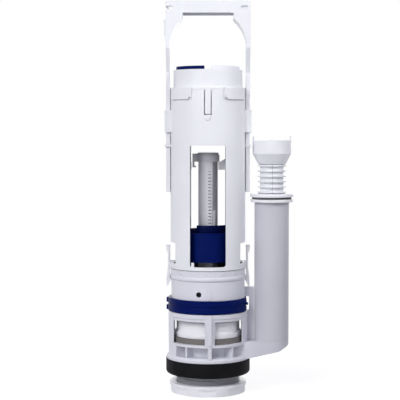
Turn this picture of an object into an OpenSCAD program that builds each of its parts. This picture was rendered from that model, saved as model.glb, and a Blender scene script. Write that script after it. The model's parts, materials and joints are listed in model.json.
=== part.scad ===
// Dual-flush valve for a toilet cistern: outlet base with a side overflow, lift tube with a
// float, two push plates with rockers, and a telescopic bridge over the top.
// The outlet axis is Z, the overflow is on +X, and z = 0 is the end of the outlet shank.

/* [Outlet] */
// Outside radius of the outlet shank
shank_r = 31; // [29:0.5:32]
// Radius of the outlet bore
bore_r = 25; // [22:0.5:26]
// Length of the outlet bore before it narrows to the valve throat
bore_len = 35.5; // [32:0.5:37]
// Radius of the throat under the valve seat
throat_r = 24; // [23.5:0.25:24.5]
// Length of the shank below the sealing flange
shank_len = 34; // [32:0.5:38]
// Thickness of the sealing washer
washer_t = 15; // [10:0.5:16]
// Outside radius of the back nut
nut_r = 38.5; // [36:0.5:42]
// Height of the back nut's top above the end of the shank
nut_h = 10.5; // [6:0.5:12]

/* [Base] */
// Outside radius of the sealing flange
flange_r = 41.5; // [40.5:0.25:43]
// Thickness of the sealing flange
flange_t = 4.5; // [3:0.25:6]
// Height of the pockets above the flange
pocket_h = 10.5; // [9:0.5:13]
// Thickness of the seat ring over the pockets
seat_t = 2.5; // [2:0.25:4]
// Outside radius of the windowed cage
cage_r = 39.5; // [38.5:0.25:40]
// Height of the cage windows
window_h = 22.7; // [18:0.1:26]
// Half angle between the middle of the front rib and a window's near edge, degrees
window_gap_a = 7; // [5:0.5:9]
// Width of a cage window, degrees
window_a = 51; // [44:1:54]
// Height of the plain band over the windows
band_h = 7.5; // [5:0.5:10]
// Outside radius of the neck that carries the lock ring
neck_r = 36.6; // [36:0.1:37]
// Wall of the neck and the cage
base_wall = 2.5; // [2:0.1:3]
// Height of the neck from the lock ring to the collar
neck_h = 20; // [16:0.5:26]
// Height of the collar at the top of the base
collar_h = 8.8; // [7:0.2:11]

/* [Lock ring] */
// Height of the lock ring
ring_h = 13.3; // [10:0.1:16]
// Outside radius of the lock ring
ring_r = 40.2; // [39.5:0.1:41.5]
// Half angle of the gap in the lock ring, degrees
ring_gap_a = 17; // [15:1:22]

/* [Frame] */
// Outside radius of the frame
frame_r = 37.3; // [37:0.1:38]
// Wall of the frame
frame_wall = 2.6; // [2:0.1:3]
// Height of the sill under the frame's window
sill_h = 4; // [3:0.5:6]
// Height of the frame's window
opening_h = 118.8; // [112:0.2:130]
// Half width of the frame's window
opening_w = 17.4; // [16.5:0.1:18.5]
// Height of the closed shell over the window
shell_h = 53.9; // [53:0.1:60]

/* [Push plates] */
// Outside radius of the drum that holds the push plates
drum_r = 34.2; // [33.5:0.1:34.4]
// Height of the drum over its flange
drum_h = 17.6; // [17.2:0.1:24]
// Rise of the push plates over the drum's rim
plate_rise = 3.4; // [3.2:0.1:6]
// Rocker arm from the pivot to the push stem
push_arm = 11.5; // [11:0.1:12]
// Rocker arm from the pivot to the lift bar
lift_arm = 12.5; // [12:0.1:13]
// Swing of a rocker to each side of level, degrees
swing_a = 20; // [16:1:20]

/* [Lift tube] */
// Outside radius of the lift tube
tube_r = 9.7; // [9:0.1:10]
// Wall of the lift tube
tube_wall = 1.8; // [1.4:0.1:2.4]
// Outside radius of the valve plunger
plunger_r = 33.5; // [32:0.25:33.75]
// Height of the valve plunger over its seal
plunger_h = 18; // [14:0.5:20]
// Thickness of the valve seal
seal_t = 5.5; // [4:0.25:6]
// Height of the cap on the lift tube
cap_h = 9; // [7:0.5:10]
// Radius of the cap on the lift tube
cap_r = 11.4; // [11:0.1:11.8]

/* [Float] */
// Outside radius of the float cup
float_r = 29; // [26:0.25:29.5]
// Height of the float cup
float_h = 28.6; // [22:0.2:30]
// Gap between the frame's sill and the float cup
float_gap = 3.8; // [3.7:0.1:8]

/* [Bridge] */
// Thickness of a bridge leg
leg_t = 4; // [3:0.1:4]
// Depth of a bridge leg, front to back
leg_d = 14; // [10:0.5:15]
// Depth of the bridge's top bar, front to back
bar_d = 34; // [28:0.5:36]
// Height of the top bar
bar_h = 11.6; // [9:0.1:14]
// Distance from the drum's rim to the bridge's top
bridge_rise = 67.2; // [66:0.2:75]
// Length of a bridge leg from the bridge's top down
leg_len = 187.5; // [180:1:195]
// Radius of the arch under the bar
arch_r = 38; // [37.7:0.1:39]

/* [Overflow] */
// Distance from the outlet axis to the overflow pipe
pipe_x = 63.6; // [63.4:0.1:68]
// Outside radius of the overflow pipe
pipe_r = 17.2; // [16.5:0.1:18]
// Wall of the overflow pipe
pipe_wall = 2; // [1.6:0.1:2.4]
// Height of the overflow pipe's flange above the bottom
pipe_top = 190; // [170:1:195]
// Radius of the ribs on the overflow's sliding neck
rib_r = 14; // [13.5:0.1:14.5]
// Pitch of those ribs
rib_pitch = 5.25; // [4.5:0.05:6]
// Outside radius of the funnel
funnel_r = 19.2; // [18:0.1:19.4]
// Length of the sliding neck above the pipe's cap
neck_show = 29.5; // [26:0.5:34]

/* [Fits] */
// Gap between pieces that slide on one another
slide_gap = 0.3; // [0.2:0.05:0.4]
// Radial gap between a pin and its bore
pin_gap = 0.05; // [0.03:0.01:0.08]
// Radius of the rocker pins
pin_r = 1.5; // [1.3:0.05:1.6]

/* [Hidden] */
$fn = 96;
eps = 0.01;
// Length by which joined shapes run into one another, and a length that cuts right through
lap = 1;
cut = 200;
white = [0.93, 0.94, 0.96];
blue = [0.05, 0.09, 0.38];
black = [0.05, 0.05, 0.06];
grey = [0.45, 0.44, 0.43];
steel = [0.7, 0.7, 0.72];
washer_r = flange_r + 0.5;
// Heights of the stack, from the bottom of the shank up
flange_z = shank_len;
pocket_z = flange_z + flange_t;
seat_z = pocket_z + pocket_h + seat_t;
band_z = seat_z + window_h;
ring_z = band_z + band_h;
neck_z = ring_z + ring_h;
collar_z = neck_z + neck_h;
base_top = collar_z + collar_h;
opening_z = base_top + sill_h;
opening_top = opening_z + opening_h;
frame_top = opening_top + shell_h;
// Ribs on the front and back of the base and cage
front_rib_half = 1.8;
rib_proud = 1.6;
rib_turn = 2.8;
// The drum
drum_flange_t = 2.3;
drum_floor_t = 2;
drum_wall = 2;
drum_z = frame_top + drum_flange_t;
drum_top = drum_z + drum_h;
drum_floor = drum_z - 1;
tab_h = 9.4;
tab_t = 1.3;
// Push plates
plate_r = drum_r - drum_wall - 2 * slide_gap;
plate_split = 3.4;
plate_t = 3;
plate_top = drum_top + plate_rise;
plate_skirt_h = 8.5;
plate_wall = 1.6;
// Rockers
rocker_t = 3.2;
rocker_w = 6;
pivot_x = 17.5;
pivot_z = drum_floor - 10;
lug_t = 2.5;
tip_rise = push_arm * sin(swing_a) + rocker_t / 2 / cos(swing_a);
stem_w = 6;
stem_gap = 0.6;
stem_x0 = pivot_x - push_arm - 1.5;
stem_x1 = pivot_x - push_arm * cos(swing_a) + 0.3;
// Lift bars
bar_x = pivot_x + lift_arm - 1.5;
lift_bar_t = 3;
lift_bar_w = 10;
eye_z = pivot_z - lift_arm * sin(swing_a);
eye_h = 5.6;
eye_rim = 2;
toe_w = 8;
toe_gap = 0.4;
// Lift tube, plunger and seal
seal_r = plunger_r + 2;
stem_r = 19;
retainer_r = throat_r - 1.5;
retainer_h = 3.3;
plunger_z = seat_z + seal_t;
plunger_top = plunger_z + plunger_h;
hub_t = 2;
hub_h = 11.5;
cap_z = opening_top - 7.6 - cap_h;
hook_x = 15.5;
hook_w = 6;
hook_drop = 5.6;
hook_t = 2;
toe_top = cap_z - toe_gap;
toe_z = toe_top - 7.7;
// Rack on the lift tube
rack_h = 0.6;
rack_x0 = 0.6;
rack_x1 = 4;
tooth_h = 1.2;
tooth_pitch = 3.2;
stop_x0 = 5.2;
stop_x1 = 7.4;
stop_z = opening_z + 38;
stop_h = 16;
// Float cup
float_z = opening_z + float_gap;
float_wall = 1.6;
float_back = 1.5;
float_hub_r = tube_r + 3;
// Frame details
frame_in = frame_r - frame_wall;
spigot_r = neck_r - base_wall - slide_gap;
spigot_wall = 2;
guide_ring_t = 3;
guide_ring_wall = 3;
bar_guide_t = 2;
tongue_w = 6.4;
slit_w = 0.8;
tongue_len = 23.6;
tongue_top = frame_top - 0.8;
tongue_z = tongue_top - tongue_len;
// Bridge and its guides
leg_x = frame_r + slide_gap / 2;
guide_z = opening_top + 12.5;
guide_h = 22;
guide_wall = 1.2;
guide_side = 2.4;
loop_z = opening_top - 1.9;
loop_h = 2.6;
bridge_top = drum_top + bridge_rise;
bar_z = bridge_top - bar_h;
notch_w = 25;
arch_z = bridge_top - 45.7;
taper_z = guide_z + guide_h + 37;
// Release latches
latch_x = 38;
latch_t = 2;
latch_w = 9;
latch_up = 19.2;
latch_down = 19.4;
latch_pivot_x = 35.2;
latch_pivot_z = base_top + 4.2;
latch_pin_r = 1.2;
latch_boss_r = 2.3;
notch_x = 32;
notch_z = opening_z + 1.5;
notch_h = 21;
ear_t = 2;
latch_pin_len = latch_w + 2 * slide_gap + 2 * ear_t;
// Overflow
pipe_in = pipe_r - pipe_wall;
pipe_flange_r = pipe_r + 3.8;
pipe_flange_t = 2.8;
oring_t = 2.2;
oring_r = pipe_r + 2.4;
cap_ring_r = pipe_r + 4.3;
cap_ring_t = 3.4;
pipe_cap_z = pipe_top + pipe_flange_t + oring_t;
neck_top = pipe_cap_z + cap_ring_t + neck_show;
core_r = rib_r - 2.3;
neck_bore_r = core_r - 1.9;
neck_hidden = 46;
cone_h = 10;
cup_h = 13.3;
funnel_wall = 1.8;
ear_h = 4;
ear_wall = 1.2;
ear_half = 3;
pipe_seat = 4;
duct_x0 = flange_r - 2;
duct_z0 = flange_z + 1;
duct_top = seat_z;
duct_half = pipe_r;
port_half = 9;
port_h = 8;
port_z = bore_len + 3;
port_floor = 2.2;
port_step = 0.5;
duct_slope = 12.5;
duct_turn = 29;
web_t = 3;
web_top = neck_z + 10;

// A ring about Z
module tube(r_out, r_in, z, h) {
    translate([0, 0, z])
        difference() {
            cylinder(r = r_out, h = h);
            translate([0, 0, -lap])
                cylinder(r = r_in, h = h + 2 * lap);
        }
}

// A wedge about Z between two angles, out to a radius
module sector(r, a0, a1, z, h) {
    far = r / cos((a1 - a0) / 4);
    mid = (a0 + a1) / 2;
    translate([0, 0, z])
        linear_extrude(h)
            polygon([[0, 0], [r * cos(a0), r * sin(a0)], [far * cos((a0 + mid) / 2), far * sin((a0 + mid) / 2)],
                [far * cos((a1 + mid) / 2), far * sin((a1 + mid) / 2)], [r * cos(a1), r * sin(a1)]]);
}

// A box between two corners
module box(low, high) {
    translate(low)
        cube(high - low);
}

// A profile in X and Z, extruded to both sides of Y = 0
module plate_xz(depth) {
    rotate([90, 0, 0])
        translate([0, 0, -depth / 2])
            linear_extrude(depth)
                children();
}

// A pin or bore along Y
module rod_y(x, z, r, length) {
    translate([x, length / 2, z])
        rotate([90, 0, 0])
            cylinder(r = r, h = length);
}

// Plan of the duct that carries the overflow pipe
module duct_plan(half) {
    translate([pipe_x, 0])
        circle(r = half);
    translate([bore_r, -half])
        square([pipe_x - bore_r, 2 * half]);
}

// A rectangle with round corners
module round_rect(low, high, r) {
    translate(low + [0, r])
        square(high - low - [0, 2 * r]);
    translate(low + [r, 0])
        square(high - low - [2 * r, 0]);
    for (x = [low[0] + r, high[0] - r], y = [low[1] + r, high[1] - r])
        translate([x, y])
            circle(r = r);
}

module outlet_base() {
    pocket_in = throat_r + 4;
    closed_a = 38;
    bend_x = pipe_x + duct_half / 2 - 1;
    bend_z = duct_z0 + (bend_x - duct_x0) * tan(duct_slope);
    far_x = pipe_x + duct_half + 1;
    rib_pitch_a = 35.6;
    side_rib_half = 1;
    side_rib_inset = 0.3;
    chamfer = 2;
    drain_r = pipe_in - 2;
    color(white)
    difference() {
        union() {
            rotate_extrude()
                polygon([[0, 0], [shank_r, 0], [shank_r, flange_z], [flange_r, flange_z],
                    [flange_r, pocket_z - chamfer], [cage_r, pocket_z], [pocket_in, pocket_z],
                    [pocket_in, seat_z - seat_t], [cage_r, seat_z - seat_t], [cage_r, seat_z], [0, seat_z]]);
            // Ribs between the pockets
            for (back = [0, 1], k = [-1:1]) {
                half = k == 0 ? front_rib_half : side_rib_half;
                out = k == 0 ? cage_r + rib_proud : cage_r - side_rib_inset;
                mirror([0, back, 0])
                    rotate([0, 0, -90 + rib_turn + k * rib_pitch_a])
                        box([pocket_in - lap, -half, pocket_z - lap], [out, half, seat_z - seat_t + lap]);
            }
            // Closed wall on the left
            intersection() {
                tube(cage_r - eps, pocket_in - lap, pocket_z - lap, pocket_h + 2 * lap);
                sector(cut, 180 - closed_a, 180 + closed_a, 0, cut);
            }
            // Duct to the overflow pipe, with a floor that rises towards the pipe
            difference() {
                translate([0, 0, duct_z0])
                    linear_extrude(duct_top - duct_z0)
                        duct_plan(duct_half);
                plate_xz(cut)
                    polygon([[duct_x0, 0], [duct_x0, duct_z0], [bend_x, bend_z],
                        [far_x, bend_z + (far_x - bend_x) * tan(duct_turn)], [far_x, 0]]);
                // A seat for the pipe
                translate([pipe_x, 0, duct_top - pipe_seat])
                    cylinder(r = pipe_in + pipe_wall / 2 + slide_gap / 2, h = cut);
            }
        }
        // Outlet bore and valve throat
        translate([0, 0, -lap])
            cylinder(r = bore_r, h = bore_len + lap);
        translate([0, 0, bore_len - lap])
            cylinder(r = throat_r, h = cut);
        // Overflow port from the pipe into the throat
        box([throat_r - 4 * lap, -port_half, port_z], [flange_r + 3 * lap, port_half, port_z + port_h]);
        translate([duct_x0, -port_half + port_step, duct_z0])
            rotate([0, -duct_slope, 0])
                translate([0, 0, port_floor])
                    cube([pipe_x - duct_x0, 2 * port_half - 2 * port_step, port_h]);
        translate([pipe_x, 0, duct_top - pipe_seat - slide_gap])
            cylinder(r = drain_r, h = cut);
    }
}

module valve_cage() {
    cage_in = cage_r - base_wall;
    neck_in = neck_r - base_wall;
    shoulder_h = 6;
    bead = 1.3;
    bead_z = collar_z - 0.6;
    bead_h = 2;
    collar_proud = 0.3;
    neck_rib_half = 1.6;
    neck_rib_proud = 0.7;
    neck_rib_h = 11;
    knob_r = 1.2;
    knob_proud = 0.9;
    knob_drop = 3;
    knob_pitch_a = 23;
    rim_a = 2;
    rim_h = 3;
    rim_depth = 0.8;
    corner_r = 1.6;
    hole_r = 2.6;
    hole_a = -104;
    hole_rise = 6;
    rib_x = cage_r * sin(rib_turn);
    near_x = cage_r * sin(window_gap_a);
    far_x = cage_r * sin(window_gap_a + window_a);
    web_x = pipe_x - pipe_r - slide_gap;
    color(white)
    difference() {
        union() {
            rotate_extrude()
                polygon([[cage_in, seat_z], [cage_r, seat_z], [cage_r, ring_z - slide_gap],
                    [neck_r, ring_z - slide_gap], [neck_r, bead_z - bead], [neck_r + bead, bead_z],
                    [neck_r + bead, bead_z + bead_h], [neck_r + collar_proud, bead_z + bead_h + bead],
                    [neck_r + collar_proud, base_top], [neck_in, base_top], [neck_in, ring_z - shoulder_h],
                    [cage_in, band_z + lap]]);
            // Front and back ribs of the cage, carried on up the neck
            for (a = [-90 + rib_turn, 90 - rib_turn])
                rotate([0, 0, a]) {
                    box([cage_in + lap, -front_rib_half, seat_z],
                        [cage_r + rib_proud, front_rib_half, ring_z - slide_gap]);
                    box([neck_in + lap, -neck_rib_half, neck_z + slide_gap],
                        [neck_r + neck_rib_proud, neck_rib_half, neck_z + neck_rib_h]);
                }
            // Row of small knobs on the collar
            for (k = [-2:2], a = [-90, 90])
                rotate([0, 0, a + knob_pitch_a * k])
                    translate([neck_r - lap, 0, base_top - knob_drop])
                        rotate([0, 90, 0])
                            cylinder(r = knob_r, h = lap + knob_proud);
            // Web to the overflow pipe
            box([neck_r - lap, -web_t / 2, neck_z + slide_gap], [web_x, web_t / 2, web_top]);
            box([cage_r - lap, -web_t / 2, seat_z], [web_x, web_t / 2, ring_z]);
            box([ring_r + lap, -web_t / 2, ring_z - lap], [web_x, web_t / 2, web_top]);
        }
        // Water windows, each in a shallow rim
        for (s = [-1, 1])
            plate_xz(cut)
                round_rect([s > 0 ? rib_x + near_x : -far_x, seat_z - 2 * corner_r],
                    [s > 0 ? far_x : rib_x - near_x, band_z], corner_r);
        difference() {
            for (back = [0, 1], s = [-1, 1]) {
                near_a = -90 + rib_turn + s * (window_gap_a - rim_a);
                far_a = -90 + s * (window_gap_a + window_a + rim_a);
                mirror([0, back, 0])
                    sector(cut, min(near_a, far_a), max(near_a, far_a), seat_z - lap, window_h + lap + rim_h);
            }
            cylinder(r = cage_r - rim_depth, h = cut);
        }
        // Drain hole beside the front rib
        rotate([0, 0, hole_a])
            translate([neck_in - lap, 0, neck_z + hole_rise])
                rotate([0, 90, 0])
                    cylinder(r = hole_r, h = base_wall + 2 * lap);
    }
}

module sealing_washer() {
    edge = 3;
    color(black)
        rotate_extrude() {
            difference() {
                translate([shank_r, flange_z - washer_t])
                    square([washer_r - shank_r, washer_t]);
                translate([washer_r - edge, flange_z - washer_t - eps])
                    difference() {
                        square([edge + lap, edge]);
                        translate([0, edge])
                            circle(r = edge);
                    }
            }
        }
}

module back_nut() {
    lift_off = 0.4;
    taper = 1.2;
    edge = 0.8;
    flat_h = 7;
    flats = 8;
    inner = shank_r + slide_gap;
    color(white)
        difference() {
            rotate_extrude()
                polygon([[inner, lift_off], [nut_r - taper, lift_off], [nut_r, nut_h - edge],
                    [nut_r - edge, nut_h], [inner + edge, nut_h], [inner, nut_h - edge]]);
            // Wrench flats round the lower half
            for (k = [0:flats - 1])
                rotate([0, 0, k * 360 / flats])
                    box([nut_r - 2 * edge, -cut, -lap], [cut, cut, flat_h]);
        }
}

module lock_ring() {
    inner = neck_r + slide_gap;
    edge = 0.7;
    groove = 0.7;
    groove_half = 0.6;
    mid = ring_z + ring_h / 2;
    knob_r = 1.4;
    knob_proud = 2;
    knob_a = 4;
    knob_rise = 1.5;
    stop_half = 3;
    stop_proud = 1.3;
    stop_h = ring_h / 2 - 2.2;
    color(blue) {
        difference() {
            rotate_extrude()
                polygon([[inner, ring_z], [ring_r - edge, ring_z], [ring_r, ring_z + edge],
                    [ring_r, mid - 2 * groove_half],
                    [ring_r - groove, mid - groove_half], [ring_r - groove, mid + groove_half],
                    [ring_r, mid + 2 * groove_half], [ring_r, neck_z - edge], [ring_r - edge, neck_z],
                    [inner, neck_z]]);
            sector(cut, -ring_gap_a, ring_gap_a, 0, cut);
        }
        // Thumb knob beside the gap
        rotate([0, 0, -ring_gap_a - knob_a])
            translate([ring_r - lap, 0, mid + knob_rise])
                rotate([0, 90, 0])
                    cylinder(r = knob_r, h = lap + knob_proud);
        // Stops on the far side, over and under the groove
        for (z = [ring_z + edge, neck_z - edge - stop_h])
            box([-ring_r - stop_proud, -stop_half, z], [-ring_r + lap, stop_half, z + stop_h]);
    }
}

module frame_tongue_slits() {
    for (s = [-1, 1])
        box([s * tongue_w / 2 - slit_w / 2, -cut, tongue_z], [s * tongue_w / 2 + slit_w / 2, 0, tongue_top]);
    box([-tongue_w / 2, -cut, tongue_z], [tongue_w / 2, 0, tongue_z + slit_w]);
}

module valve_frame() {
    ring_z0 = collar_z + 1;
    corner_r = 2.4;
    back_rise = 6;
    shelf_t = 3;
    spoke_half = 1.5;
    bar_guide_z = opening_top + 3;
    bar_guide_h = 33;
    loop_side = guide_side - 1;
    bar_half = lift_bar_w / 2 + slide_gap;
    leg_half = leg_d / 2 + slide_gap;
    latch_half = latch_w / 2 + slide_gap;
    boss_gap = 2.6;
    color(white)
    difference() {
        union() {
            difference() {
                union() {
                    tube(frame_r, frame_in, base_top, frame_top - base_top);
                    tube(frame_r, spigot_r - spigot_wall, base_top, shelf_t);
                }
                // Window through the front, and a taller one through the back
                translate([0, -cut / 2, 0])
                    plate_xz(cut)
                        round_rect([-opening_w, opening_z], [opening_w, opening_top], corner_r);
                translate([0, cut / 2, 0])
                    plate_xz(cut)
                        round_rect([-opening_w, opening_z], [opening_w, opening_top + back_rise], corner_r);
                frame_tongue_slits();
                // Notches beside the release latches
                for (s = [-1, 1])
                    box([s > 0 ? notch_x : -cut, -cut, notch_z],
                        [s > 0 ? cut : -notch_x, cut, notch_z + notch_h]);
            }
            // Spigot inside the base, with a guide for the lift tube
            tube(spigot_r, spigot_r - spigot_wall, ring_z0, base_top - ring_z0 + lap);
            tube(tube_r + slide_gap + guide_ring_wall, tube_r + slide_gap, ring_z0, guide_ring_t);
            for (a = [30, 150, 270])
                rotate([0, 0, a])
                    box([tube_r + slide_gap + lap, -spoke_half, ring_z0],
                        [spigot_r - lap, spoke_half, ring_z0 + guide_ring_t]);
            // Guides of the lift bars
            intersection() {
                for (s = [-1, 1], t = [-1, 1])
                    box([s > 0 ? bar_x - lap : -cut, t > 0 ? bar_half : -bar_half - bar_guide_t, bar_guide_z],
                        [s > 0 ? cut : -bar_x + lap, t > 0 ? bar_half + bar_guide_t : -bar_half,
                        bar_guide_z + bar_guide_h]);
                cylinder(r = frame_r - lap, h = cut * 2);
            }
            // Guides and loops of the bridge legs
            for (s = [-1, 1]) {
                leg_guide(s, guide_z, guide_h, guide_side);
                leg_guide(s, loop_z, loop_h, loop_side);
            }
            // Ears of the release latches
            for (s = [-1, 1], t = [-1, 1])
                latch_ear(s, t);
            // Round boss under the tongue
            rod_boss(tongue_z - boss_gap);
        }
        for (s = [-1, 1]) {
            // Pocket for the latch's boss
            box([s > 0 ? notch_x : -cut, -latch_half, base_top + lap],
                [s > 0 ? cut : -notch_x, latch_half, opening_z + 2 * lap]);
            // Ways for the bridge legs
            box([s > 0 ? leg_x - slide_gap : -leg_x - leg_t - slide_gap, -leg_half, loop_z - lap],
                [s > 0 ? leg_x + leg_t + slide_gap : -leg_x + slide_gap, leg_half, frame_top + lap]);
            rod_y(s * latch_pivot_x, latch_pivot_z, latch_pin_r + pin_gap, latch_pin_len + slide_gap);
        }
    }
}

// A round boss on the front of the frame
module rod_boss(z) {
    sunk = 1.5;
    proud = 0.6;
    translate([0, -frame_r + sunk, z])
        rotate([90, 0, 0])
            cylinder(r = (tongue_w - slit_w) / 2, h = sunk + proud);
}

// A sleeve for one bridge leg
module leg_guide(s, z, h, side) {
    low = frame_r - 2 * lap;
    high = leg_x + leg_t + slide_gap + guide_wall;
    half = leg_d / 2 + slide_gap + side;
    box([s > 0 ? low : -high, -half, z], [s > 0 ? high : -low, half, z + h]);
}

// One ear that holds a latch pin
module latch_ear(s, t) {
    y0 = latch_w / 2 + slide_gap;
    reach = 2.5;
    low = notch_x - 2 * lap;
    high = latch_pivot_x + reach;
    box([s > 0 ? low : -high, t > 0 ? y0 : -y0 - ear_t, base_top + lap / 2],
        [s > 0 ? high : -low, t > 0 ? y0 + ear_t : -y0, latch_pivot_z + reach]);
}

module drum_housing() {
    tab_in = frame_r + slide_gap;
    tab_a0 = 24.5;
    tab_a1 = 70;
    spigot_h = 3;
    low = frame_top - spigot_h;
    divider_half = plate_split - 3 * slide_gap;
    lug_half = 3;
    rocker_half = rocker_w / 2 + slide_gap;
    leg_half = leg_d / 2 + slide_gap;
    color(white)
    difference() {
        union() {
            tube(drum_r, drum_r - drum_wall, low, drum_top - low);
            tube(frame_r, drum_r - drum_wall, frame_top, drum_flange_t);
            translate([0, 0, drum_floor])
                cylinder(r = drum_r - eps, h = drum_floor_t);
            // Divider between the push plates
            box([-divider_half, -drum_r + lap, drum_floor], [divider_half, drum_r - lap, drum_top - lap]);
            // Snap tabs over the frame
            intersection() {
                union() {
                    tube(tab_in + tab_t, tab_in, frame_top - tab_h, tab_h + lap);
                    tube(tab_in + tab_t, drum_r - lap, frame_top, drum_flange_t);
                }
                for (a = [-90, 90], s = [-1, 1])
                    sector(cut, a + (s > 0 ? tab_a0 : -tab_a1), a + (s > 0 ? tab_a1 : -tab_a0), 0, cut * 2);
            }
            // Lugs that carry the rockers
            for (s = [-1, 1], t = [-1, 1])
                box([s * pivot_x - lug_half, t > 0 ? rocker_half : -rocker_half - lug_t, pivot_z - lug_half],
                    [s * pivot_x + lug_half, t > 0 ? rocker_half + lug_t : -rocker_half, drum_floor + lap]);
        }
        for (s = [-1, 1]) {
            // Hole for the stem, bore for the pin and room for the bridge leg
            box([(s > 0 ? stem_x0 : -stem_x1) - stem_gap, -stem_w / 2 - stem_gap, drum_floor - lap],
                [(s > 0 ? stem_x1 : -stem_x0) + stem_gap, stem_w / 2 + stem_gap,
                drum_floor + drum_floor_t + lap]);
            rod_y(s * pivot_x, pivot_z, pin_r + pin_gap, cut);
            box([s > 0 ? leg_x - slide_gap : -cut, -leg_half, 0],
                [s > 0 ? cut : -leg_x + slide_gap, leg_half, drum_top]);
        }
    }
}

// Plan of a push plate on the +X side
module plate_plan(inset) {
    intersection() {
        circle(r = plate_r - inset);
        translate([plate_split + inset, -cut])
            square([cut, 2 * cut]);
    }
}

module push_plate() {
    stem_z = pivot_z + tip_rise + slide_gap;
    translate([0, 0, plate_top - plate_t])
        linear_extrude(plate_t)
            plate_plan(0);
    translate([0, 0, plate_top - plate_t - plate_skirt_h])
        linear_extrude(plate_skirt_h + lap)
            difference() {
                plate_plan(0);
                plate_plan(plate_wall);
            }
    box([stem_x0, -stem_w / 2, stem_z], [stem_x1, stem_w / 2, plate_top - lap]);
}

module half_flush_plate() {
    color(blue)
        mirror([1, 0, 0])
            push_plate();
}

module full_flush_plate() {
    color(white)
        push_plate();
}

// A compression spring swept as rings of points along its helix
module coil_spring(r, wire, turns, z0, z1) {
    sides = 6;
    steps = 14;
    n = turns * steps;
    rise = z1 - z0 - 2 * wire;
    points = [for (i = [0:n], k = [0:sides - 1])
        let (a = 360 * i / steps, b = 360 * k / sides, q = r + wire * cos(b))
        [q * cos(a), q * sin(a), z0 + wire + rise * i / n + wire * sin(b)]];
    walls = [for (i = [0:n - 1], k = [0:sides - 1])
        let (a = i * sides + k, b = i * sides + (k + 1) % sides)
        [a, a + sides, b + sides, b]];
    start = [for (k = [0:sides - 1]) k];
    end = [for (k = [sides - 1:-1:0]) n * sides + k];
    polyhedron(points, concat(walls, [start, end]));
}

module push_spring(s) {
    offset_x = 2.5;
    coil_r = 5.5;
    wire_r = 0.6;
    turns = 6;
    seat_gap = 0.05;
    color(steel)
        translate([s * (pivot_x + offset_x), 0, 0])
            coil_spring(coil_r, wire_r, turns, drum_floor + drum_floor_t + seat_gap,
                plate_top - plate_t - seat_gap);
}

module half_flush_spring() {
    push_spring(-1);
}

module full_flush_spring() {
    push_spring(1);
}

// A rocker on the +X side, at rest with its lift end down
module rocker() {
    hub_wall = 1.6;
    difference() {
        translate([pivot_x, 0, pivot_z])
            rotate([0, swing_a, 0])
                plate_xz(rocker_w) {
                    translate([-push_arm, -rocker_t / 2])
                        square([push_arm + lift_arm, rocker_t]);
                    for (x = [-push_arm, lift_arm])
                        translate([x, 0])
                            circle(r = rocker_t / 2);
                    circle(r = pin_r + hub_wall);
                }
        rod_y(pivot_x, pivot_z, pin_r + pin_gap, cut);
    }
}

module half_flush_rocker() {
    color(grey)
        mirror([1, 0, 0])
            rocker();
}

module full_flush_rocker() {
    color(grey)
        rocker();
}

module rocker_pin(s) {
    color(steel)
        rod_y(s * pivot_x, pivot_z, pin_r, rocker_w + 2 * slide_gap + 2 * lug_t);
}

module half_rocker_pin() {
    rocker_pin(-1);
}

module full_rocker_pin() {
    rocker_pin(1);
}

// A lift bar on the +X side: an eye round the rocker's tip and a toe that reaches in
module lift_bar(toe_x) {
    tip = 1.3;
    gusset_in = 4;
    gusset_out = 7;
    difference() {
        union() {
            box([bar_x, -lift_bar_w / 2, toe_z],
                [bar_x + lift_bar_t, lift_bar_w / 2, eye_z + eye_h / 2 + eye_rim]);
            plate_xz(toe_w)
                polygon([[toe_x, toe_z], [bar_x + lap, toe_z], [bar_x + lap, toe_top + gusset_out],
                    [max(toe_x, opening_w) + lap, toe_top + gusset_in], [toe_x + tip, toe_top],
                    [toe_x, toe_top]]);
        }
        box([0, -rocker_w / 2 - slide_gap, eye_z - eye_h / 2],
            [cut, rocker_w / 2 + slide_gap, eye_z + eye_h / 2]);
    }
}

module half_lift_bar() {
    hook_gap = 1;
    color(grey)
        mirror([1, 0, 0])
            lift_bar(hook_x + hook_gap);
}

module full_lift_bar() {
    tube_gap = 0.5;
    color(grey)
        lift_bar(tube_r + tube_gap);
}

module lift_tube() {
    low = opening_z + 6;
    top_gap = 7;
    sunk = 0.5;
    teeth = floor((toe_z - top_gap - low) / tooth_pitch);
    color(white) {
        tube(tube_r, tube_r - tube_wall, plunger_top, cap_z - plunger_top);
        // Rack that the float clips to, and a stop beside it
        intersection() {
            union() {
                for (k = [0:teeth])
                    box([rack_x0, -cut, low + k * tooth_pitch], [rack_x1, 0, low + k * tooth_pitch + tooth_h]);
                box([stop_x0, -cut, stop_z], [stop_x1, 0, stop_z + stop_h]);
            }
            tube(tube_r + rack_h, tube_r - sunk, opening_z, opening_h);
        }
    }
}

module tube_cap() {
    rim = 1;
    rim_h = 2;
    lip = 1.6;
    color(white) {
        tube(cap_r, tube_r - tube_wall, cap_z, cap_h - rim_h);
        tube(cap_r - rim, tube_r - tube_wall, cap_z, cap_h);
        // Hooked arm on the half-flush side
        difference() {
            union() {
                box([-hook_x, -hook_w / 2, cap_z], [0, hook_w / 2, cap_z + cap_h - rim]);
                box([-hook_x, -hook_w / 2, cap_z - hook_drop], [-hook_x + hook_t, hook_w / 2, cap_z + lap]);
                box([-hook_x, -hook_w / 2, cap_z - hook_drop], [-hook_x + hook_t + lip, hook_w / 2,
                    cap_z - hook_drop + lip]);
            }
            translate([0, 0, cap_z - lap])
                cylinder(r = tube_r - tube_wall, h = cap_h + 2 * lap);
        }
    }
}

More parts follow.
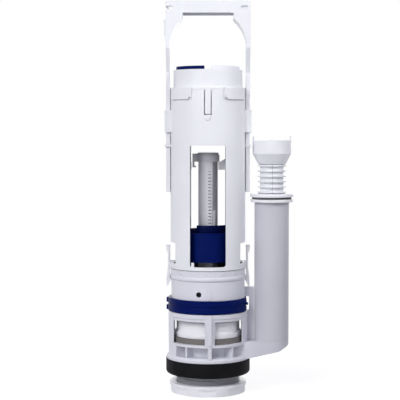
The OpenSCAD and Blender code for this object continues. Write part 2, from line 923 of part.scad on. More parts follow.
module valve_plunger() {
    wall = 2;
    foot_z = plunger_z - seal_t - retainer_h;
    lip_h = 4;
    lip = 2;
    edge = 3;
    hub_in = tube_r + pin_gap;
    color(white)
        difference() {
            rotate_extrude()
                polygon([[0, foot_z], [stem_r, foot_z], [stem_r, plunger_z], [plunger_r, plunger_z],
                    [plunger_r, plunger_z + lip_h], [plunger_r - lip, plunger_z + lip_h + lip],
                    [plunger_r - lip, plunger_top - edge], [plunger_r - lip - edge, plunger_top],
                    [hub_in + hub_t, plunger_top], [hub_in + hub_t, plunger_top + hub_h],
                    [hub_in, plunger_top + hub_h], [hub_in, plunger_top], [0, plunger_top]]);
            // Hollow underside
            translate([0, 0, foot_z - lap])
                cylinder(r = stem_r - wall, h = seal_t + retainer_h + plunger_h - wall);
        }
}

module valve_seal() {
    color(grey)
        tube(seal_r, stem_r, seat_z, seal_t);
}

module seal_retainer() {
    seal_gap = 0.2;
    color(white)
        tube(retainer_r, stem_r, seat_z - retainer_h, retainer_h - seal_gap);
}

module float_cup() {
    bore = tube_r + slide_gap;
    back_y = 4;
    rib_half = 0.8;
    rib_drop = 4;
    way_gap = 0.5;
    color(blue)
        difference() {
            union() {
                tube(float_r, float_r - float_wall, float_z, float_h);
                tube(float_r - eps, bore, float_z, float_wall);
                tube(float_hub_r, bore, float_z, float_h + float_back);
                // The wall stands higher at the back
                intersection() {
                    tube(float_r, float_r - float_wall, float_z, float_h + float_back);
                    box([-cut, back_y, 0], [cut, cut, cut]);
                }
                // Stiffening webs
                for (a = [0, 180, 90])
                    rotate([0, 0, a])
                        box([float_hub_r - lap, -rib_half, float_z],
                            [float_r - lap, rib_half, float_z + float_h - rib_drop]);
            }
            // Way for the rack and the stop
            box([rack_x0 - way_gap, -float_hub_r - lap, 0], [stop_x1 + way_gap, -tube_r / 2, cut * 2]);
        }
}

// A release latch on the +X side: a thumb pad on top, a hook under the collar's bead below
module release_latch() {
    top = latch_pivot_z + latch_up;
    tail = latch_pivot_z - latch_down;
    out = latch_x + latch_t;
    pad = out + 1.4;
    pad_h = 5.5;
    pad_slope = 2.5;
    tail_h = 12;
    tail_edge = 1;
    nose = neck_r + 0.4;
    nose_z = collar_z - 1.9;
    nose_h = 1;
    nose_slope = 1.4;
    arm_half = 1.2;
    difference() {
        union() {
            plate_xz(latch_w)
                polygon([[latch_x, top], [pad, top], [pad, top - pad_h], [out, top - pad_h - pad_slope],
                    [out, nose_z + tail_h], [pad, nose_z + nose_h], [pad, tail - 2 * tail_edge],
                    [pad - tail_edge, tail - 3 * tail_edge], [latch_x, nose_z - nose_h - nose_slope],
                    [nose, nose_z - nose_h], [nose, nose_z], [latch_x, nose_z]]);
            rod_y(latch_pivot_x, latch_pivot_z, latch_boss_r, latch_w);
            box([latch_pivot_x, -latch_w / 2, latch_pivot_z - arm_half],
                [latch_x + lap, latch_w / 2, latch_pivot_z + arm_half]);
        }
        rod_y(latch_pivot_x, latch_pivot_z, latch_pin_r + pin_gap, cut);
    }
}

module left_release_latch() {
    color(white)
        mirror([1, 0, 0])
            release_latch();
}

module right_release_latch() {
    color(white)
        release_latch();
}

module latch_pin(s) {
    color(steel)
        rod_y(s * latch_pivot_x, latch_pivot_z, latch_pin_r, latch_pin_len);
}

module left_latch_pin() {
    latch_pin(-1);
}

module right_latch_pin() {
    latch_pin(1);
}

module bridge() {
    out = leg_x + leg_t;
    low = bridge_top - leg_len;
    rib = 2.5;
    clip_z = bridge_top - 9;
    clip_h = 4;
    clip_w = 6.6;
    pocket_wall = 1;
    lug_half = 5;
    lug_proud = 2;
    lug_z = arch_z + 13.5;
    lug_h = 15;
    color(white)
    difference() {
        union() {
            intersection() {
                // Bar, arch and legs from the front
                plate_xz(bar_d)
                    difference() {
                        translate([-out, low])
                            square([2 * out, leg_len]);
                        arch_plan(low);
                    }
                // Depth of the bar, drawn in to the legs
                rotate([90, 0, 90])
                    translate([0, 0, -cut / 2])
                        linear_extrude(cut)
                            polygon([[-leg_d / 2, low], [leg_d / 2, low], [leg_d / 2, taper_z],
                                [bar_d / 2, arch_z],
                                [bar_d / 2, bridge_top], [-bar_d / 2, bridge_top], [-bar_d / 2, arch_z],
                                [-leg_d / 2, taper_z]]);
            }
            // Side lug
            box([-out - lug_proud, -lug_half, lug_z], [-out + lap, lug_half, lug_z + lug_h]);
        }
        // Clip at the left end, and its pocket at the right end
        box([-out - lap, -cut, clip_z], [-out + clip_w, cut, clip_z + clip_h]);
        box([out - clip_w - rib, -cut, clip_z], [out - rib, -bar_d / 2 + rib - pocket_wall, clip_z + clip_h]);
        // Hollow underside of the bar
        box([-notch_w, -bar_d / 2 + rib, bar_z - lap], [notch_w, bar_d / 2 - rib, bridge_top - rib]);
        // Hollow back of the corners
        translate([0, rib, 0])
            plate_xz(bar_d)
                difference() {
                    for (s = [-1, 1])
                        translate([s > 0 ? notch_w + rib : -out + rib, arch_z])
                            square([out - notch_w - 2 * rib, bridge_top - arch_z - rib]);
                    translate([0, arch_z])
                        circle(r = arch_r + rib);
                }
    }
}

// Opening of the bridge: the room between its legs, the arch and the notch under the bar
module arch_plan(low) {
    translate([-leg_x, low - lap])
        square([2 * leg_x, arch_z - low + lap]);
    intersection() {
        translate([0, arch_z])
            circle(r = arch_r);
        translate([-leg_x, arch_z - lap])
            square([2 * leg_x, bar_z - arch_z + lap]);
    }
    translate([-notch_w, arch_z])
        square([2 * notch_w, bar_z - arch_z]);
}

module overflow_pipe() {
    color(white)
        translate([pipe_x, 0, 0])
            difference() {
                union() {
                    translate([0, 0, duct_top])
                        cylinder(r = pipe_r, h = pipe_top - duct_top + lap);
                    translate([0, 0, duct_top - pipe_seat + slide_gap])
                        cylinder(r = pipe_in + pipe_wall / 2, h = pipe_seat + lap);
                    translate([0, 0, pipe_top])
                        cylinder(r = pipe_flange_r, h = pipe_flange_t);
                }
                cylinder(r = pipe_in, h = cut * 2);
            }
}

module overflow_seal() {
    color(black)
        translate([pipe_x, 0, 0])
            tube(oring_r, rib_r + slide_gap, pipe_top + pipe_flange_t, oring_t);
}

module overflow_cap() {
    edge = 1.2;
    color(white)
        translate([pipe_x, 0, 0])
            rotate_extrude()
                polygon([[rib_r + slide_gap, pipe_cap_z], [cap_ring_r, pipe_cap_z],
                    [cap_ring_r, pipe_cap_z + cap_ring_t - edge], [cap_ring_r - edge, pipe_cap_z + cap_ring_t],
                    [rib_r + slide_gap, pipe_cap_z + cap_ring_t]]);
}

module overflow_funnel() {
    low = neck_top - neck_show - neck_hidden;
    ribs = floor((neck_show + neck_hidden) / rib_pitch) - 1;
    cup_z = neck_top + cone_h;
    cup_floor = 0.7;
    rib_t = 1.6;
    rib_gap = 1;
    color(white)
        translate([pipe_x, 0, 0]) {
            rotate_extrude()
                polygon([[neck_bore_r, low], [core_r, low], [core_r, neck_top - lap], [rib_r, neck_top],
                    [funnel_r, cup_z], [funnel_r, cup_z + cup_h], [funnel_r - funnel_wall, cup_z + cup_h],
                    [funnel_r - funnel_wall, cup_z + cup_floor], [neck_bore_r, neck_top + lap]]);
            for (k = [0:ribs])
                tube(rib_r, core_r - lap, neck_top - rib_gap - rib_t - k * rib_pitch, rib_t);
            // Ears on the rim
            intersection() {
                tube(funnel_r, funnel_r - ear_wall, cup_z + cup_h - lap, ear_h + lap);
                for (s = [-1, 1])
                    box([s > 0 ? 0 : -cut, -ear_half, 0], [s > 0 ? cut : 0, ear_half, cut * 2]);
            }
        }
}

outlet_base();
valve_cage();
sealing_washer();
back_nut();
lock_ring();
valve_frame();
drum_housing();
half_flush_plate();
full_flush_plate();
half_flush_spring();
full_flush_spring();
half_flush_rocker();
full_flush_rocker();
half_rocker_pin();
full_rocker_pin();
half_lift_bar();
full_lift_bar();
lift_tube();
tube_cap();
valve_plunger();
valve_seal();
seal_retainer();
float_cup();
left_release_latch();
right_release_latch();
left_latch_pin();
right_latch_pin();
bridge();
overflow_pipe();
overflow_seal();
overflow_cap();
overflow_funnel();
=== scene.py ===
import json
import math

import bmesh
import bpy
from mathutils import Matrix, Vector


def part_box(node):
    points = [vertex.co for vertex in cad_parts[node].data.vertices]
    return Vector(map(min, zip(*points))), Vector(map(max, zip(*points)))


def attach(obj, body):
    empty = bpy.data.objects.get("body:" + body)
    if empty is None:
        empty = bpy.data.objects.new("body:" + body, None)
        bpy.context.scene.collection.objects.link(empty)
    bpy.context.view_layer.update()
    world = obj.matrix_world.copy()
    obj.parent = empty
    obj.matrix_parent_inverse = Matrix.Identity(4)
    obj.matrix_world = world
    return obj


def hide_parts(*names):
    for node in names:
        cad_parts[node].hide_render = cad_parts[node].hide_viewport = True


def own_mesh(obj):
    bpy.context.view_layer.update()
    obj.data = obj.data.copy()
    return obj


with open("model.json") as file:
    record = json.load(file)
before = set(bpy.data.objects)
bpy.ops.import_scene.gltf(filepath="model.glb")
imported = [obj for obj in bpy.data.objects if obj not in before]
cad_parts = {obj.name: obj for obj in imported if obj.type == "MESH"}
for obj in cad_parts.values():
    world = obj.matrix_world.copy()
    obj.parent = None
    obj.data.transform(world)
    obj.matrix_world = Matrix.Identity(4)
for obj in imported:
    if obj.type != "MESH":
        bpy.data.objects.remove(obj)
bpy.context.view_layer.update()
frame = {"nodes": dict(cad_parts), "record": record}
nodes = frame["nodes"]
print("frame loaded:", len(nodes), "nodes")

# finishes: color is the clear plastic, shade the slightly different swirl in it
finishes = {
    "white_plastic": {"color": (0.83, 0.835, 0.865), "shade": (0.79, 0.795, 0.83), "swirl": 22,
                      "rough": (0.34, 0.46), "shine": 0.4, "grain": 1400, "depth": 0.035, "edge": 0.0006},
    "pipe_plastic": {"color": (0.58, 0.58, 0.63), "shade": (0.54, 0.54, 0.59), "swirl": 16,
                     "rough": (0.36, 0.50), "shine": 0.35, "grain": 1200, "depth": 0.04, "edge": 0.0006},
    "inner_plastic": {"color": (0.80, 0.79, 0.83), "shade": (0.74, 0.73, 0.77), "swirl": 30,
                      "rough": (0.40, 0.55), "shine": 0.3, "grain": 1500, "depth": 0.05, "edge": 0.0005},
    "blue_plastic": {"color": (0.0012, 0.0085, 0.098), "shade": (0.0009, 0.0062, 0.076), "swirl": 25,
                     "rough": (0.30, 0.42), "shine": 0.04, "grain": 1300, "depth": 0.04, "edge": 0.0006},
    "black_rubber": {"color": (0.005, 0.005, 0.0065), "shade": (0.008, 0.008, 0.010), "swirl": 60,
                     "rough": (0.55, 0.75), "shine": 0.08, "grain": 2200, "depth": 0.12, "edge": 0.0008},
    "grey_silicone": {"color": (0.20, 0.186, 0.178), "shade": (0.165, 0.153, 0.146), "swirl": 40,
                      "rough": (0.50, 0.65), "shine": 0.15, "grain": 1600, "depth": 0.08, "edge": 0.0006},
    "spring_steel": {"color": (0.58, 0.58, 0.60), "shade": (0.48, 0.48, 0.50), "swirl": 80,
                     "rough": (0.24, 0.38), "shine": 0.5, "grain": 2600, "depth": 0.05, "edge": 0.0003,
                     "metal": 1.0},
}
# what all finishes share
surface = {"swirlDetail": 4, "swirlRough": 0.55, "toneEnds": (0.32, 0.68),
           "grainDetail": 2, "grainHeight": 0.0004, "edgeSamples": 6}


def link(tree, a, b):
    tree.links.new(a, b)


def finish(slotName, name=None, **change):
    look = {**finishes[slotName], **change}
    mat = bpy.data.materials.new(name or slotName)
    mat.use_nodes = True
    tree = mat.node_tree
    skin = tree.nodes["Principled BSDF"]
    skin.inputs["Metallic"].default_value = look.get("metal", 0.0)
    skin.inputs["Specular IOR Level"].default_value = look["shine"]
    coord = tree.nodes.new("ShaderNodeTexCoord")
    # slow swirl of the melt, in colour and in gloss
    swirl = tree.nodes.new("ShaderNodeTexNoise")
    swirl.inputs["Scale"].default_value = look["swirl"]
    swirl.inputs["Detail"].default_value = surface["swirlDetail"]
    swirl.inputs["Roughness"].default_value = surface["swirlRough"]
    link(tree, coord.outputs["Object"], swirl.inputs["Vector"])
    ramp = tree.nodes.new("ShaderNodeValToRGB")
    for end, tone in enumerate(("shade", "color")):
        ramp.color_ramp.elements[end].position = surface["toneEnds"][end]
        ramp.color_ramp.elements[end].color = (*look[tone], 1)
    link(tree, swirl.outputs["Fac"], ramp.inputs["Fac"])
    link(tree, ramp.outputs["Color"], skin.inputs["Base Color"])
    gloss = tree.nodes.new("ShaderNodeMapRange")
    gloss.inputs["To Min"].default_value = look["rough"][0]
    gloss.inputs["To Max"].default_value = look["rough"][1]
    link(tree, swirl.outputs["Fac"], gloss.inputs["Value"])
    link(tree, gloss.outputs["Result"], skin.inputs["Roughness"])
    # fine tool grain over softly rounded edges
    grain = tree.nodes.new("ShaderNodeTexNoise")
    grain.inputs["Scale"].default_value = look["grain"]
    grain.inputs["Detail"].default_value = surface["grainDetail"]
    link(tree, coord.outputs["Object"], grain.inputs["Vector"])
    edge = tree.nodes.new("ShaderNodeBevel")
    edge.samples = surface["edgeSamples"]
    edge.inputs["Radius"].default_value = look["edge"]
    bump = tree.nodes.new("ShaderNodeBump")
    bump.inputs["Strength"].default_value = look["depth"]
    bump.inputs["Distance"].default_value = surface["grainHeight"]
    link(tree, grain.outputs["Fac"], bump.inputs["Height"])
    link(tree, edge.outputs["Normal"], bump.inputs["Normal"])
    link(tree, bump.outputs["Normal"], skin.inputs["Normal"])
    return mat


materials = {name: finish(name) for name in finishes}
for part in frame["record"]["subparts"]:
    mesh = nodes[part["node"]].data
    mesh.materials.clear()
    mesh.materials.append(materials[part["material_slot"]])
print("finishes:", len(materials))


# masks in a part's own coordinates, for marks that belong to one part
def ownPlace(tree):
    coord = tree.nodes.new("ShaderNodeTexCoord")
    parts = tree.nodes.new("ShaderNodeSeparateXYZ")
    link(tree, coord.outputs["Object"], parts.inputs[0])
    return parts.outputs["X"], parts.outputs["Y"], parts.outputs["Z"]


def reach(tree, x, y):
    flat = tree.nodes.new("ShaderNodeCombineXYZ")
    link(tree, x, flat.inputs["X"])
    link(tree, y, flat.inputs["Y"])
    size = tree.nodes.new("ShaderNodeVectorMath")
    size.operation = "LENGTH"
    link(tree, flat.outputs[0], size.inputs[0])
    return size.outputs["Value"]


def reckon(tree, value, how, number):
    node = tree.nodes.new("ShaderNodeMath")
    node.operation = how
    node.inputs[1].default_value = number
    link(tree, value, node.inputs[0])
    return node.outputs[0]


def above(tree, value, limit):
    return reckon(tree, value, "GREATER_THAN", limit)


def below(tree, value, limit):
    return reckon(tree, value, "LESS_THAN", limit)


def joined(tree, how, first, *others):
    for other in others:
        node = tree.nodes.new("ShaderNodeMath")
        node.operation = how
        link(tree, first, node.inputs[0])
        link(tree, other, node.inputs[1])
        first = node.outputs[0]
    return first


# a Mix node has several sockets of each name, so its colour sockets go by number
mixColor = {"under": 6, "over": 7, "result": 2}


# colour where all the masks hold
def paintOver(tree, color, *masks):
    skin = tree.nodes["Principled BSDF"]
    plain = skin.inputs["Base Color"].links[0].from_socket
    mix = tree.nodes.new("ShaderNodeMix")
    mix.data_type = "RGBA"
    link(tree, joined(tree, "MULTIPLY", *masks), mix.inputs["Factor"])
    link(tree, plain, mix.inputs[mixColor["under"]])
    mix.inputs[mixColor["over"]].default_value = (*color, 1)
    link(tree, mix.outputs[mixColor["result"]], skin.inputs["Base Color"])


# lift tube: dark strokes at a fixed pitch down the front, painted shade down its right side, and a painted
# highlight on the proud stop there
tubeLook = {"color": (0.92, 0.915, 0.94), "shade": (0.87, 0.865, 0.895), "skin": 0.0094,
            "markLow": 0.1338, "markHigh": 0.2205, "pitch": 0.0032, "markShare": 0.2,
            "markSides": (0.0002, 0.0028), "mark": (0.15, 0.145, 0.155),
            "shadeSide": 0.0046, "rightShade": (0.40, 0.39, 0.41),
            "proud": 0.0099, "stopSide": 0.0050, "stop": (0.95, 0.95, 0.96)}


def markedTube():
    mat = finish("inner_plastic", "marked_tube", color=tubeLook["color"], shade=tubeLook["shade"])
    tree = mat.node_tree
    x, y, z = ownPlace(tree)
    away = reach(tree, x, y)
    front = joined(tree, "MULTIPLY", below(tree, y, 0), above(tree, away, tubeLook["skin"]))
    # painted shade on the right side of the tube's front
    paintOver(tree, tubeLook["rightShade"], front, above(tree, x, tubeLook["shadeSide"]))
    # painted highlight: the proud stop stays pale within the painted shade
    paintOver(tree, tubeLook["stop"], front, above(tree, x, tubeLook["stopSide"]),
              above(tree, away, tubeLook["proud"]))
    # dark strokes at a fixed pitch down the front
    steps = reckon(tree, reckon(tree, z, "SUBTRACT", tubeLook["markLow"]), "DIVIDE", tubeLook["pitch"])
    stroke = below(tree, reckon(tree, steps, "FRACT", 0), tubeLook["markShare"])
    paintOver(tree, tubeLook["mark"], front, stroke,
              above(tree, z, tubeLook["markLow"]), below(tree, z, tubeLook["markHigh"]),
              above(tree, x, tubeLook["markSides"][0]), below(tree, x, tubeLook["markSides"][1]))
    return mat


# overflow: a white collar on the grey pipe, a seam down the front of the sliding neck, a seal greyer than
# black rubber
overflowLook = {"lip": 0.0031, "seamHalf": 0.00018, "seamDrop": 0.0285, "seam": (0.42, 0.42, 0.46),
                "seal": (0.16, 0.16, 0.17), "sealShade": (0.12, 0.12, 0.13)}


def collaredPipe():
    mat = finish("pipe_plastic", "collared_pipe")
    tree = mat.node_tree
    z = ownPlace(tree)[2]
    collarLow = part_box("overflow_seal")[0].z - overflowLook["lip"]
    paintOver(tree, finishes["white_plastic"]["color"], above(tree, z, collarLow))
    return mat


def seamedNeck():
    mat = finish("white_plastic", "seamed_neck")
    tree = mat.node_tree
    x, y, z = ownPlace(tree)
    low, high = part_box("overflow_funnel")
    middle = (low.x + high.x) / 2
    paintOver(tree, overflowLook["seam"], below(tree, y, 0),
              above(tree, x, middle - overflowLook["seamHalf"]),
              below(tree, x, middle + overflowLook["seamHalf"]),
              below(tree, z, high.z - overflowLook["seamDrop"]))
    return mat


# base: painted greyer than the frame as painted shade on the lower parts, with a painted shadow on the shank
# under the washer and painted shade along the duct, darker towards the pipe
baseLook = {"color": (0.725, 0.725, 0.785), "shade": (0.69, 0.69, 0.75),
            "shankTop": 0.0195, "shank": (0.30, 0.30, 0.33),
            "ductFrom": 0.034, "ductTo": 0.052, "duct": (0.60, 0.60, 0.66)}


def shadedBase():
    mat = finish("white_plastic", "base_painted_shade", color=baseLook["color"], shade=baseLook["shade"])
    tree = mat.node_tree
    x, _, z = ownPlace(tree)
    # painted shadow under the washer, on the shank and its thread
    paintOver(tree, baseLook["shank"], below(tree, z, baseLook["shankTop"]))
    # painted shade along the duct, darker towards the pipe
    toPipe = tree.nodes.new("ShaderNodeMapRange")
    toPipe.inputs["From Min"].default_value = baseLook["ductFrom"]
    toPipe.inputs["From Max"].default_value = baseLook["ductTo"]
    link(tree, x, toPipe.inputs["Value"])
    paintOver(tree, baseLook["duct"], toPipe.outputs["Result"])
    return mat


# cage: painted greyer like the base as painted shade, with near-black painted shade inside the neck and in
# the small drain hole, whose place is x and z
cageLook = {"insideReach": 0.0343, "insideLow": 0.080, "hole": (-0.00885, 0.101), "holeReach": 0.003,
            "neckReach": 0.0364, "shadeBlack": (0.004, 0.004, 0.005)}


def darkCage():
    mat = finish("white_plastic", "cage_painted_shade", color=baseLook["color"], shade=baseLook["shade"])
    tree = mat.node_tree
    x, y, z = ownPlace(tree)
    away = reach(tree, x, y)
    # painted shade inside the neck
    paintOver(tree, cageLook["shadeBlack"], below(tree, away, cageLook["insideReach"]),
              above(tree, z, cageLook["insideLow"]))
    fromHole = reach(tree, reckon(tree, x, "SUBTRACT", cageLook["hole"][0]),
                     reckon(tree, z, "SUBTRACT", cageLook["hole"][1]))
    # painted shade in the drain hole, on the wall behind it
    paintOver(tree, cageLook["shadeBlack"], below(tree, y, 0), below(tree, fromHole, cageLook["holeReach"]),
              below(tree, away, cageLook["neckReach"]))
    return mat


# frame: its foot inside the neck is painted near-black as painted shade, with a parting line round its lower
# edge
frameLook = {"footReach": 0.0349, "footTop": 0.130, "footShade": (0.014, 0.0135, 0.0145),
             "partingTop": 0.1243, "parting": (0.16, 0.16, 0.18)}


def darkFoot():
    mat = finish("white_plastic", "frame_plastic")
    tree = mat.node_tree
    x, y, z = ownPlace(tree)
    away = reach(tree, x, y)
    # painted shade inside the foot
    paintOver(tree, frameLook["footShade"], below(tree, away, frameLook["footReach"]),
              below(tree, z, frameLook["footTop"]))
    paintOver(tree, frameLook["parting"], above(tree, away, frameLook["footReach"]),
              below(tree, z, frameLook["partingTop"]))
    return mat


# plunger and nut: painted a little whiter than the frame as painted light
brightLook = {"color": (0.89, 0.89, 0.92), "shade": (0.86, 0.86, 0.89)}
bright = finish("white_plastic", "white_painted_light", **brightLook)
special = {
    "lift_tube": markedTube(),
    "overflow_pipe": collaredPipe(),
    "overflow_funnel": seamedNeck(),
    "overflow_cap": materials["white_plastic"],
    "overflow_seal": finish("black_rubber", "greyed_rubber", color=overflowLook["seal"],
                            shade=overflowLook["sealShade"]),
    "outlet_base": shadedBase(),
    "valve_cage": darkCage(),
    "valve_frame": darkFoot(),
    "valve_plunger": bright,
    "back_nut": bright,
}
for name, mat in special.items():
    nodes[name].data.materials[0] = mat
print("marks done:", len(special))


def addObject(name, data):
    added = bpy.data.objects.new(name, data)
    bpy.context.scene.collection.objects.link(added)
    return added


# first and last nodes of a tree: its named inputs, then real geometry in its finish
def startTree(name, inputs):
    tree = bpy.data.node_groups.new(name, "GeometryNodeTree")
    tree.interface.new_socket("Geometry", in_out="OUTPUT", socket_type="NodeSocketGeometry")
    for label, kind in inputs.items():
        tree.interface.new_socket(label, in_out="INPUT", socket_type="NodeSocket" + kind)
    return tree, tree.nodes.new("NodeGroupInput").outputs


def endTree(tree, given, shape):
    real = tree.nodes.new("GeometryNodeRealizeInstances")
    paint = tree.nodes.new("GeometryNodeSetMaterial")
    result = tree.nodes.new("NodeGroupOutput")
    link(tree, shape, real.inputs["Geometry"])
    link(tree, real.outputs["Geometry"], paint.inputs["Geometry"])
    link(tree, given["Finish"], paint.inputs["Material"])
    link(tree, paint.outputs["Geometry"], result.inputs["Geometry"])


# a helix swept with a many-sided wire, for the springs and the thread
def helixTree():
    tree, given = startTree("helixWire", {"Turns": "Float", "Radius": "Float", "Rise": "Float",
                                          "Steps": "Int", "Wire": "Float", "Sides": "Int",
                                          "Finish": "Material"})
    path = tree.nodes.new("GeometryNodeCurveSpiral")
    link(tree, given["Steps"], path.inputs["Resolution"])
    link(tree, given["Turns"], path.inputs["Rotations"])
    link(tree, given["Radius"], path.inputs["Start Radius"])
    link(tree, given["Radius"], path.inputs["End Radius"])
    link(tree, given["Rise"], path.inputs["Height"])
    wire = tree.nodes.new("GeometryNodeCurvePrimitiveCircle")
    link(tree, given["Sides"], wire.inputs["Resolution"])
    link(tree, given["Wire"], wire.inputs["Radius"])
    sweep = tree.nodes.new("GeometryNodeCurveToMesh")
    sweep.inputs["Fill Caps"].default_value = True
    link(tree, path.outputs["Curve"], sweep.inputs["Curve"])
    link(tree, wire.outputs["Curve"], sweep.inputs["Profile Curve"])
    endTree(tree, given, sweep.outputs["Mesh"])
    return tree


# run a tree on an empty mesh, keep the plain mesh and put it in place
def bake(tree, name, values, spot):
    holder = addObject(name + "Tree", bpy.data.meshes.new(name + "Tree"))
    mod = holder.modifiers.new("tree", "NODES")
    mod.node_group = tree
    for item in tree.interface.items_tree:
        if item.in_out == "INPUT" and item.name in values:
            mod[item.identifier] = values[item.name]
    graph = bpy.context.evaluated_depsgraph_get()
    mesh = bpy.data.meshes.new_from_object(holder.evaluated_get(graph))
    holder.modifiers.remove(mod)
    bpy.data.objects.remove(holder)
    mesh.name = name
    mesh.transform(Matrix.Translation(spot))
    work = bmesh.new()
    work.from_mesh(mesh)
    bmesh.ops.recalc_face_normals(work, faces=work.faces)
    for f in work.faces:
        f.smooth = True
    work.to_mesh(mesh)
    work.free()
    return addObject(name, mesh)


# push springs, a steel coil in place of each part's spring
helix = helixTree()
springLook = {"turns": 6.0, "wire": 0.0006, "stepsPerTurn": 40, "sides": 10}
for side in ("half", "full"):
    low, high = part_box(side + "_flush_spring")
    middle = (low + high) / 2
    coilR = (high.x - low.x) / 2 - springLook["wire"]
    coil = bake(helix, side + "SpringCoil",
                {"Turns": springLook["turns"], "Radius": coilR,
                 "Rise": high.z - low.z - 2 * springLook["wire"],
                 "Steps": springLook["stepsPerTurn"], "Wire": springLook["wire"],
                 "Sides": springLook["sides"], "Finish": materials["spring_steel"]},
                (middle.x, middle.y, low.z + springLook["wire"]))
    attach(coil, "valve_body")
    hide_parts(side + "_flush_spring")
    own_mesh(coil)
print("springs done")

# screw thread on the shank, where it shows between the nut and the washer
threadLook = {"radius": 0.03085, "wire": 0.0008, "pitch": 0.0024, "stepsPerTurn": 96, "sides": 8,
              "clear": 0.0002}
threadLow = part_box("back_nut")[1].z + threadLook["wire"] + threadLook["clear"]
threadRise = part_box("sealing_washer")[0].z - threadLook["wire"] - threadLook["clear"] - threadLow
# the thread takes the base's finish, so it carries the painted shadow under the washer
thread = bake(helix, "shankThread",
              {"Turns": threadRise / threadLook["pitch"], "Radius": threadLook["radius"], "Rise": threadRise,
               "Steps": threadLook["stepsPerTurn"], "Wire": threadLook["wire"],
               "Sides": threadLook["sides"], "Finish": special["outlet_base"]},
              (0, 0, threadLow))
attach(thread, "valve_body")
print("thread done")


# grip ridges on the thumb pads of the two latches
def ridgeTree():
    tree, given = startTree("ridgeRow", {"Count": "Int", "Step": "Vector", "Radius": "Float",
                                         "Length": "Float", "Sides": "Int", "Finish": "Material"})
    row = tree.nodes.new("GeometryNodeMeshLine")
    link(tree, given["Count"], row.inputs["Count"])
    link(tree, given["Step"], row.inputs["Offset"])
    ridge = tree.nodes.new("GeometryNodeMeshCylinder")
    link(tree, given["Sides"], ridge.inputs["Vertices"])
    link(tree, given["Radius"], ridge.inputs["Radius"])
    link(tree, given["Length"], ridge.inputs["Depth"])
    copies = tree.nodes.new("GeometryNodeInstanceOnPoints")
    copies.inputs["Rotation"].default_value = (math.pi / 2, 0, 0)
    link(tree, row.outputs["Mesh"], copies.inputs["Points"])
    link(tree, ridge.outputs["Mesh"], copies.inputs["Instance"])
    endTree(tree, given, copies.outputs["Instances"])
    return tree


ridges = ridgeTree()
gripLook = {"count": 4, "pitch": 0.00115, "radius": 0.00035, "length": 0.0078, "sides": 14, "drop": 0.0009}
for side in ("left", "right"):
    low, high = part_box(side + "_release_latch")
    outside = low.x if side == "left" else high.x
    grip = bake(ridges, side + "LatchGrip",
                {"Count": gripLook["count"], "Step": (0, 0, -gripLook["pitch"]),
                 "Radius": gripLook["radius"], "Length": gripLook["length"],
                 "Sides": gripLook["sides"], "Finish": materials["white_plastic"]},
                (outside, 0, high.z - gripLook["drop"]))
    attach(grip, side + "_latch")
print("latch grips done")


# give a flat or curved sheet its second side and return the new corners
def thicken(work):
    grown = bmesh.ops.extrude_face_region(work, geom=list(work.faces))
    return [v for v in grown["geom"] if isinstance(v, bmesh.types.BMVert)]


edgeRound = {"segments": 2, "profile": 0.5}


# round the edges that turn by more than sharp radians, and keep the shape as an object
def roundedPiece(work, name, look, mat, smooth):
    bmesh.ops.recalc_face_normals(work, faces=work.faces)
    bmesh.ops.bevel(work, geom=[e for e in work.edges if e.calc_face_angle(0) > look["sharp"]],
                    offset=look["round"], affect="EDGES", **edgeRound)
    for f in work.faces:
        f.smooth = smooth
    mesh = bpy.data.meshes.new(name)
    work.to_mesh(mesh)
    work.free()
    mesh.materials.append(mat)
    return addObject(name, mesh)


# small catch at the lower left corner of the frame's front window
# its outline is x and the height over the sill
catchLook = {"outline": ((-0.0163, -0.0003), (-0.0133, -0.0003), (-0.0133, 0.0036),
                         (-0.0140, 0.0044), (-0.0163, 0.0044)),
             "front": -0.0334, "back": -0.0318, "sill": 0.1278, "round": 0.0003, "sharp": 0.5}
work = bmesh.new()
work.faces.new([work.verts.new((x, catchLook["front"], catchLook["sill"] + z))
                for x, z in catchLook["outline"]])
bmesh.ops.translate(work, vec=(0, catchLook["back"] - catchLook["front"], 0), verts=thicken(work))
sillCatch = roundedPiece(work, "sillCatch", catchLook, materials["white_plastic"], smooth=False)
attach(sillCatch, "valve_body")
print("catch done")

# curved inner wall of the float cup, in front of the tube and lower on its left, painted a darker blue as
# painted shade
# turns are degrees from the front, rises are over the front rim
wallLook = {"inner": 0.0198, "outer": 0.0213, "floor": 0.0012, "backRise": 0.0015, "step": 4,
            "turns": (-60, 60), "fullFrom": -32, "rises": (0.0037, 0.0074), "round": 0.0003, "sharp": 0.5,
            "color": (0.0009, 0.0046, 0.054), "shade": (0.0008, 0.0038, 0.044)}
low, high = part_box("float_cup")
middle = (low + high) / 2
rim = high.z - wallLook["backRise"]  # the cup stands higher at its back
levels = (low.z + wallLook["floor"], rim + wallLook["rises"][0], rim + wallLook["rises"][1])
turns = range(wallLook["turns"][0], wallLook["turns"][1] + 1, wallLook["step"])
work = bmesh.new()
corner = {}
for row, level in enumerate(levels):
    for turn in turns:
        if level < levels[-1] or turn >= wallLook["fullFrom"]:  # the top row starts further right
            angle = math.radians(turn)
            corner[row, turn] = work.verts.new((middle.x + wallLook["outer"] * math.sin(angle),
                                                middle.y - wallLook["outer"] * math.cos(angle), level))
for row in range(len(levels) - 1):
    for a, b in zip(turns, turns[1:]):
        if (row + 1, a) in corner:
            work.faces.new((corner[row, a], corner[row, b], corner[row + 1, b], corner[row + 1, a]))
inwards = wallLook["inner"] / wallLook["outer"]
bmesh.ops.scale(work, vec=(inwards, inwards, 1), space=Matrix.Translation((-middle.x, -middle.y, 0)),
                verts=thicken(work))
# a darker copy of the blue, as painted shade on the recessed wall
shadedBlue = finish("blue_plastic", "blue_painted_shade", color=wallLook["color"], shade=wallLook["shade"])
floatWall = roundedPiece(work, "floatWall", wallLook, shadedBlue, smooth=True)
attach(floatWall, "float")
print("float wall done")

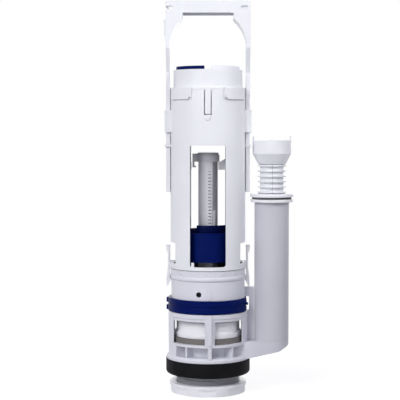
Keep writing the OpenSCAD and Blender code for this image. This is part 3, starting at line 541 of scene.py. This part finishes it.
# camera: long lens in front, a little above the middle and tilted down
shot = {"place": (0.0061, -1.24, 0.262), "tilt": 3.247, "pan": 0.652, "lens": 111.94, "sensor": 36}
camera = addObject("camera", bpy.data.cameras.new("camera"))
camera.location = shot["place"]
camera.rotation_euler = (math.radians(90 - shot["tilt"]), 0, math.radians(shot["pan"]))
camera.data.lens = shot["lens"]
camera.data.sensor_width = shot["sensor"]
bpy.context.scene.camera = camera
print("camera done")

# studio: white paper that takes shadow from near to far round the valve, and a pale sky
studio = {"floor": 40.0, "white": 0.60, "shadowShare": 0.45, "near": 0.10, "far": 0.42, "lift": 1.52,
          "sky": (0.33, 0.335, 0.385)}
# big soft key from the upper left, weak fill, one lamp behind and a faint one low on the left
lamps = {
    "keySoftbox": {"place": (-0.70, -1.07, 0.95), "aim": (0, 0, 0.27), "size": 0.7,
                   "power": 12.4, "spread": 180},
    "fillSoftbox": {"place": (0.66, -0.45, 0.8), "aim": (0.03, 0, 0.355), "size": 0.4,
                    "power": 0.33, "spread": 42},
    "backSoftbox": {"place": (0.25, 1.4, 0.45), "aim": (0.01, 0, 0.2), "size": 0.8,
                    "power": 5.0, "spread": 180},
    "lowSoftbox": {"place": (-0.45, -0.95, 0.16), "aim": (-0.01, 0, 0.03), "size": 0.3,
                   "power": 0.016, "spread": 16},
}


def seenRays(tree):
    path = tree.nodes.new("ShaderNodeLightPath").outputs
    return joined(tree, "MAXIMUM", path["Is Camera Ray"], path["Is Glossy Ray"], path["Is Transmission Ray"])


def mixShaders(tree, share, first, second, end):
    mix = tree.nodes.new("ShaderNodeMixShader")
    link(tree, share, mix.inputs["Fac"])
    link(tree, first.outputs[0], mix.inputs[1])
    link(tree, second.outputs[0], mix.inputs[2])
    link(tree, mix.outputs[0], tree.nodes[end].inputs["Surface"])


def makeFloor():
    half = studio["floor"] / 2
    mesh = bpy.data.meshes.new("floor")
    corners = [(-half, -half, 0), (half, -half, 0), (half, half, 0), (-half, half, 0)]
    mesh.from_pydata(corners, [], [(0, 1, 2, 3)])
    floor = addObject("floor", mesh)
    mat = bpy.data.materials.new("paperSweep")
    mat.use_nodes = True
    tree = mat.node_tree
    tree.nodes.remove(tree.nodes["Principled BSDF"])
    matte = tree.nodes.new("ShaderNodeBsdfDiffuse")
    matte.inputs["Color"].default_value = (studio["white"],) * 3 + (1,)
    glow = tree.nodes.new("ShaderNodeEmission")
    # share of plain white, which grows away from the valve
    coord = tree.nodes.new("ShaderNodeTexCoord")
    away = tree.nodes.new("ShaderNodeVectorMath")
    away.operation = "LENGTH"
    link(tree, coord.outputs["Object"], away.inputs[0])
    plain = tree.nodes.new("ShaderNodeMapRange")
    plain.interpolation_type = "SMOOTHSTEP"
    plain.inputs["From Min"].default_value = studio["near"]
    plain.inputs["From Max"].default_value = studio["far"]
    plain.inputs["To Min"].default_value = 1 - studio["shadowShare"]
    link(tree, away.outputs["Value"], plain.inputs["Value"])
    # near the valve the white is stronger, to make up for the shadowed share
    lift = tree.nodes.new("ShaderNodeMapRange")
    lift.inputs["From Min"].default_value = 1 - studio["shadowShare"]
    lift.inputs["To Min"].default_value = studio["lift"]
    link(tree, plain.outputs["Result"], lift.inputs["Value"])
    link(tree, lift.outputs["Result"], glow.inputs["Strength"])
    share = joined(tree, "MULTIPLY", seenRays(tree), plain.outputs["Result"])
    mixShaders(tree, share, matte, glow, "Material Output")
    mesh.materials.append(mat)


def makeSky():
    world = bpy.data.worlds.new("studioSky")
    world.use_nodes = True
    tree = world.node_tree
    ambient = tree.nodes["Background"]
    ambient.inputs["Color"].default_value = (*studio["sky"], 1)
    paper = tree.nodes.new("ShaderNodeBackground")
    paper.inputs["Color"].default_value = (1, 1, 1, 1)
    mixShaders(tree, seenRays(tree), ambient, paper, "World Output")
    bpy.context.scene.world = world


def makeLamp(name, place, aim, size, power, spread):
    light = bpy.data.lights.new(name, "AREA")
    light.shape = "DISK"
    light.size = size
    light.energy = power
    light.spread = math.radians(spread)
    lamp = addObject(name, light)
    lamp.location = place
    lamp.rotation_euler = (Vector(aim) - Vector(place)).to_track_quat("-Z", "Y").to_euler()


makeFloor()
makeSky()
for name, look in lamps.items():
    makeLamp(name, **look)
bpy.context.scene.view_settings.view_transform = "Standard"
print("studio done")
